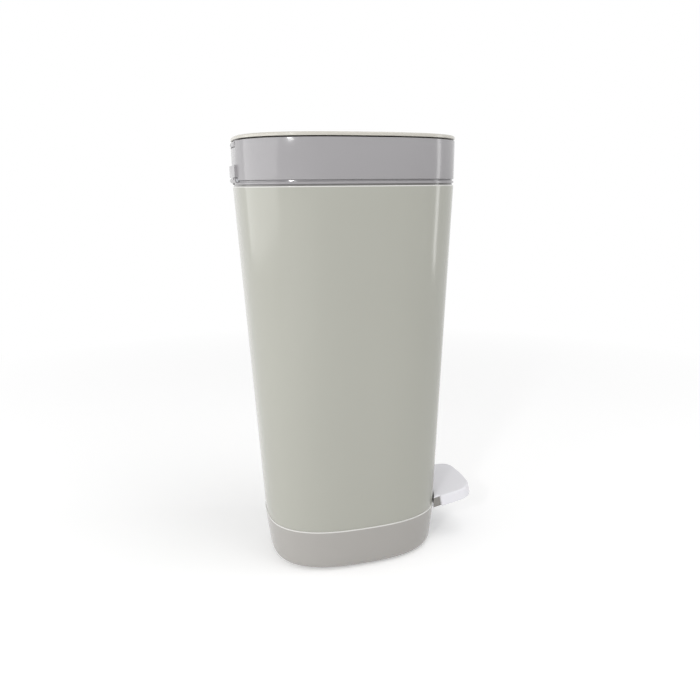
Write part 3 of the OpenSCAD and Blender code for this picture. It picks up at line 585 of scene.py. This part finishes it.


# Painted highlight along the moulded edges and painted shade in the groove, by height on the body
# and base
PAINTED_EDGE_HIGHLIGHT, PAINTED_GROOVE_SHADE = srgb(216, 215, 212), srgb(122, 121, 119)
PAINTED_BAND_SOFT = 0.2 * MM
MATERIALS = {
    # The base's lip carries a band of painted highlight.
    "base_plastic": moulded("base_plastic", srgb(166, 163, 159), 0.16,
                            lines=[(BASE_TOP - 1.4 * MM, BASE_TOP + 0.1 * MM, PAINTED_EDGE_HIGHLIGHT)]),
    # The body's shoulder carries a band of painted highlight, and its groove under the collar
    # painted shade.
    "body_plastic": moulded("body_plastic", srgb(170, 170, 161), 0.14,
                            lines=[(RIM_Z - 3.3 * MM, RIM_Z - 2.1 * MM, PAINTED_EDGE_HIGHLIGHT),
                                   (RIM_Z - 1.9 * MM, RIM_Z, PAINTED_GROOVE_SHADE)]),
    "head_plastic": moulded("head_plastic", srgb(155, 153, 155), 0.14),
    "collar_plastic": moulded("collar_plastic", srgb(151, 149, 151), 0.14),
    "lid_plastic": moulded("lid_plastic", srgb(198, 195, 186), 0.2),
    "pedal_plastic": moulded("pedal_plastic", srgb(236, 235, 240), 0.2, 0.2),
    "inner_plastic": moulded("inner_plastic", srgb(158, 154, 148), 0.42, 0.4, 0.02, scuffs=0.06),
    "guide_plastic": moulded("guide_plastic", srgb(217, 217, 212), 0.36, 0.3, 0.015, scuffs=0.05),
    "dark_plastic": moulded("dark_plastic", srgb(143, 140, 136), 0.42, 0.4, 0.02, scuffs=0.06),
    "cassette_plastic": moulded("cassette_plastic", srgb(238, 238, 236), 0.32, 0.3, 0.015,
                                scuffs=0.05),
    "plated_steel": metal("plated_steel", srgb(200, 202, 205)),
    "blade_steel": metal("blade_steel", srgb(218, 220, 222), 0.2, (1, 60, 1)),
    "seal_rubber": rubber("seal_rubber", srgb(92, 95, 99)),
    "film": gathered_film("film", srgb(206, 219, 230)),
}


def soft_shading():
    """Modifier group that shades curved walls smooth and keeps real edges crisp."""
    group = bpy.data.node_groups.new("soft_shading", "GeometryNodeTree")
    group.interface.new_socket("Geometry", in_out="INPUT", socket_type="NodeSocketGeometry")
    group.interface.new_socket("Geometry", in_out="OUTPUT", socket_type="NodeSocketGeometry")
    start, end = group.nodes.new("NodeGroupInput"), group.nodes.new("NodeGroupOutput")
    faces = group.nodes.new("GeometryNodeSetShadeSmooth")
    edges = group.nodes.new("GeometryNodeSetShadeSmooth")
    edges.domain = "EDGE"
    edges.inputs["Shade Smooth"].default_value = False
    angle = group.nodes.new("GeometryNodeInputMeshEdgeAngle")
    steep = group.nodes.new("FunctionNodeCompare")
    steep.operation = "GREATER_THAN"
    steep.inputs[1].default_value = math.radians(30)
    group.links.new(start.outputs[0], faces.inputs["Geometry"])
    group.links.new(faces.outputs["Geometry"], edges.inputs["Geometry"])
    group.links.new(angle.outputs["Unsigned Angle"], steep.inputs[0])
    group.links.new(steep.outputs["Result"], edges.inputs["Selection"])
    group.links.new(edges.outputs["Geometry"], end.inputs[0])
    return group


SOFT_SHADING = soft_shading()


def dress(node, slot):
    """Softens a CAD node's edges and gives it its finish, its mesh left as it is."""
    weld = node.modifiers.new("weld", "WELD")
    weld.merge_threshold = 0.02 * MM
    bevel = node.modifiers.new("bevel", "BEVEL")
    bevel.width = 0.25 * MM
    bevel.segments = 2
    bevel.limit_method = "ANGLE"
    bevel.angle_limit = math.radians(40)
    bevel.use_clamp_overlap = True
    smooth = node.modifiers.new("smooth", "NODES")
    smooth.node_group = SOFT_SHADING
    if not node.material_slots:
        node.data.materials.append(None)
    for place in node.material_slots:
        place.link = "OBJECT"
        place.material = MATERIALS[slot]


slots = {part["node"]: part["material_slot"] for part in frame["record"]["subparts"]}
for node_name, node in frame["nodes"].items():
    dress(node, slots[node_name])

body_skin(MATERIALS["body_plastic"])
base_skin(MATERIALS["base_plastic"])
pedal_skin(MATERIALS["pedal_plastic"], MATERIALS["dark_plastic"])
spring_skin(MATERIALS["plated_steel"])


# Distances over which the floor turns white, and the light that it is lifted by
FLOOR_NEAR, FLOOR_FAR, FLOOR_LIFT = 0.7, 1.6, 0.26
FLOOR_SIZE = 8
LAMP_AIM = Vector((0, 0, 0.3))
WORLD_LIGHT = 0.5


def seen_directly(tree):
    """One for the rays that show the white background, and nought for others."""
    path = tree.nodes.new("ShaderNodeLightPath")
    value = path.outputs["Is Camera Ray"]
    for name in ("Is Glossy Ray", "Is Transmission Ray"):
        either = tree.nodes.new("ShaderNodeMath")
        either.operation = "MAXIMUM"
        tree.links.new(value, either.inputs[0])
        tree.links.new(path.outputs[name], either.inputs[1])
        value = either.outputs[0]
    return value


def studio():
    """Pale floor, soft lamps and the photograph's camera."""
    floor_mesh = bpy.data.meshes.new("floor")
    bm = bmesh.new()
    bmesh.ops.create_grid(bm, x_segments=1, y_segments=1, size=FLOOR_SIZE)
    bm.to_mesh(floor_mesh)
    bm.free()
    floor = bpy.data.objects.new("floor", floor_mesh)
    bpy.context.scene.collection.objects.link(floor)
    m = Nodes("floor")
    m.shader.inputs["Base Color"].default_value = srgb(240, 240, 240)
    m.shader.inputs["Roughness"].default_value = 0.7
    seen = seen_directly(m.tree)
    away = m.tree.nodes.new("ShaderNodeVectorMath")
    away.operation = "LENGTH"
    m.link(m.place, away.inputs[0])
    far = m.spread(away.outputs["Value"], FLOOR_NEAR, FLOOR_FAR, 0, 1)
    white = m.add("ShaderNodeEmission", Strength=1.0)
    mix = m.tree.nodes.new("ShaderNodeMixShader")
    m.link(m.times(far, seen), mix.inputs[0])
    m.link(m.shader.outputs[0], mix.inputs[1])
    m.link(white.outputs[0], mix.inputs[2])
    m.link(mix.outputs[0], m.tree.nodes["Material Output"].inputs["Surface"])
    m.shader.inputs["Emission Color"].default_value = (1, 1, 1, 1)
    m.link(m.times(seen, FLOOR_LIFT), m.shader.inputs["Emission Strength"])
    floor_mesh.materials.append(m.material)

    def lamp(name, place, size, power, height=None, mirrored=True):
        """A soft lamp that faces the bin, of a size in metres and a power in watts."""
        light = bpy.data.lights.new(name, "AREA")
        light.shape = "RECTANGLE"
        light.size = size
        light.size_y = height or size
        light.energy = power
        item = bpy.data.objects.new(name, light)
        item.location = place
        item.rotation_euler = (LAMP_AIM - Vector(place)).to_track_quat("-Z", "Y").to_euler()
        item.visible_glossy = mirrored
        bpy.context.scene.collection.objects.link(item)

    lamp("key", (-1.75, 1.3, 1.3), 0.2, 8.5)
    lamp("window", (0.0, 2.3, 0.75), 3.4, 24, height=1.5)
    lamp("low", (-1.3, 0.9, 0.2), 1.2, 4.5, height=0.4, mirrored=False)
    lamp("right", (-0.5, -2.2, 0.8), 0.25, 5, height=1.6)
    lamp("top", (-0.6, -0.7, 2.1), 1.2, 13, height=1.6)

    world = bpy.data.worlds.new("world")
    bpy.context.scene.world = world
    world.use_nodes = True
    tree = world.node_tree
    background = tree.nodes["Background"]
    level = tree.nodes.new("ShaderNodeMapRange")
    level.inputs["To Min"].default_value = WORLD_LIGHT
    level.inputs["To Max"].default_value = 1.0
    tree.links.new(seen_directly(tree), level.inputs["Value"])
    background.inputs["Color"].default_value = (1, 1, 1, 1)
    tree.links.new(level.outputs["Result"], background.inputs["Strength"])

    camera_data = bpy.data.cameras.new("camera")
    camera_data.sensor_width = SENSOR
    camera_data.lens = LENS
    camera_data.clip_start = 0.01
    camera = bpy.data.objects.new("camera", camera_data)
    turn = CAMERA_LOOK.to_track_quat("-Z", "Y").to_matrix()
    roll = turn @ Matrix.Rotation(CAMERA_ROLL, 3, "Z")
    camera.matrix_world = Matrix.Translation(CAMERA_AT) @ roll.to_4x4()
    bpy.context.scene.collection.objects.link(camera)
    bpy.context.scene.camera = camera
    bpy.context.scene.view_settings.view_transform = "Standard"


studio()
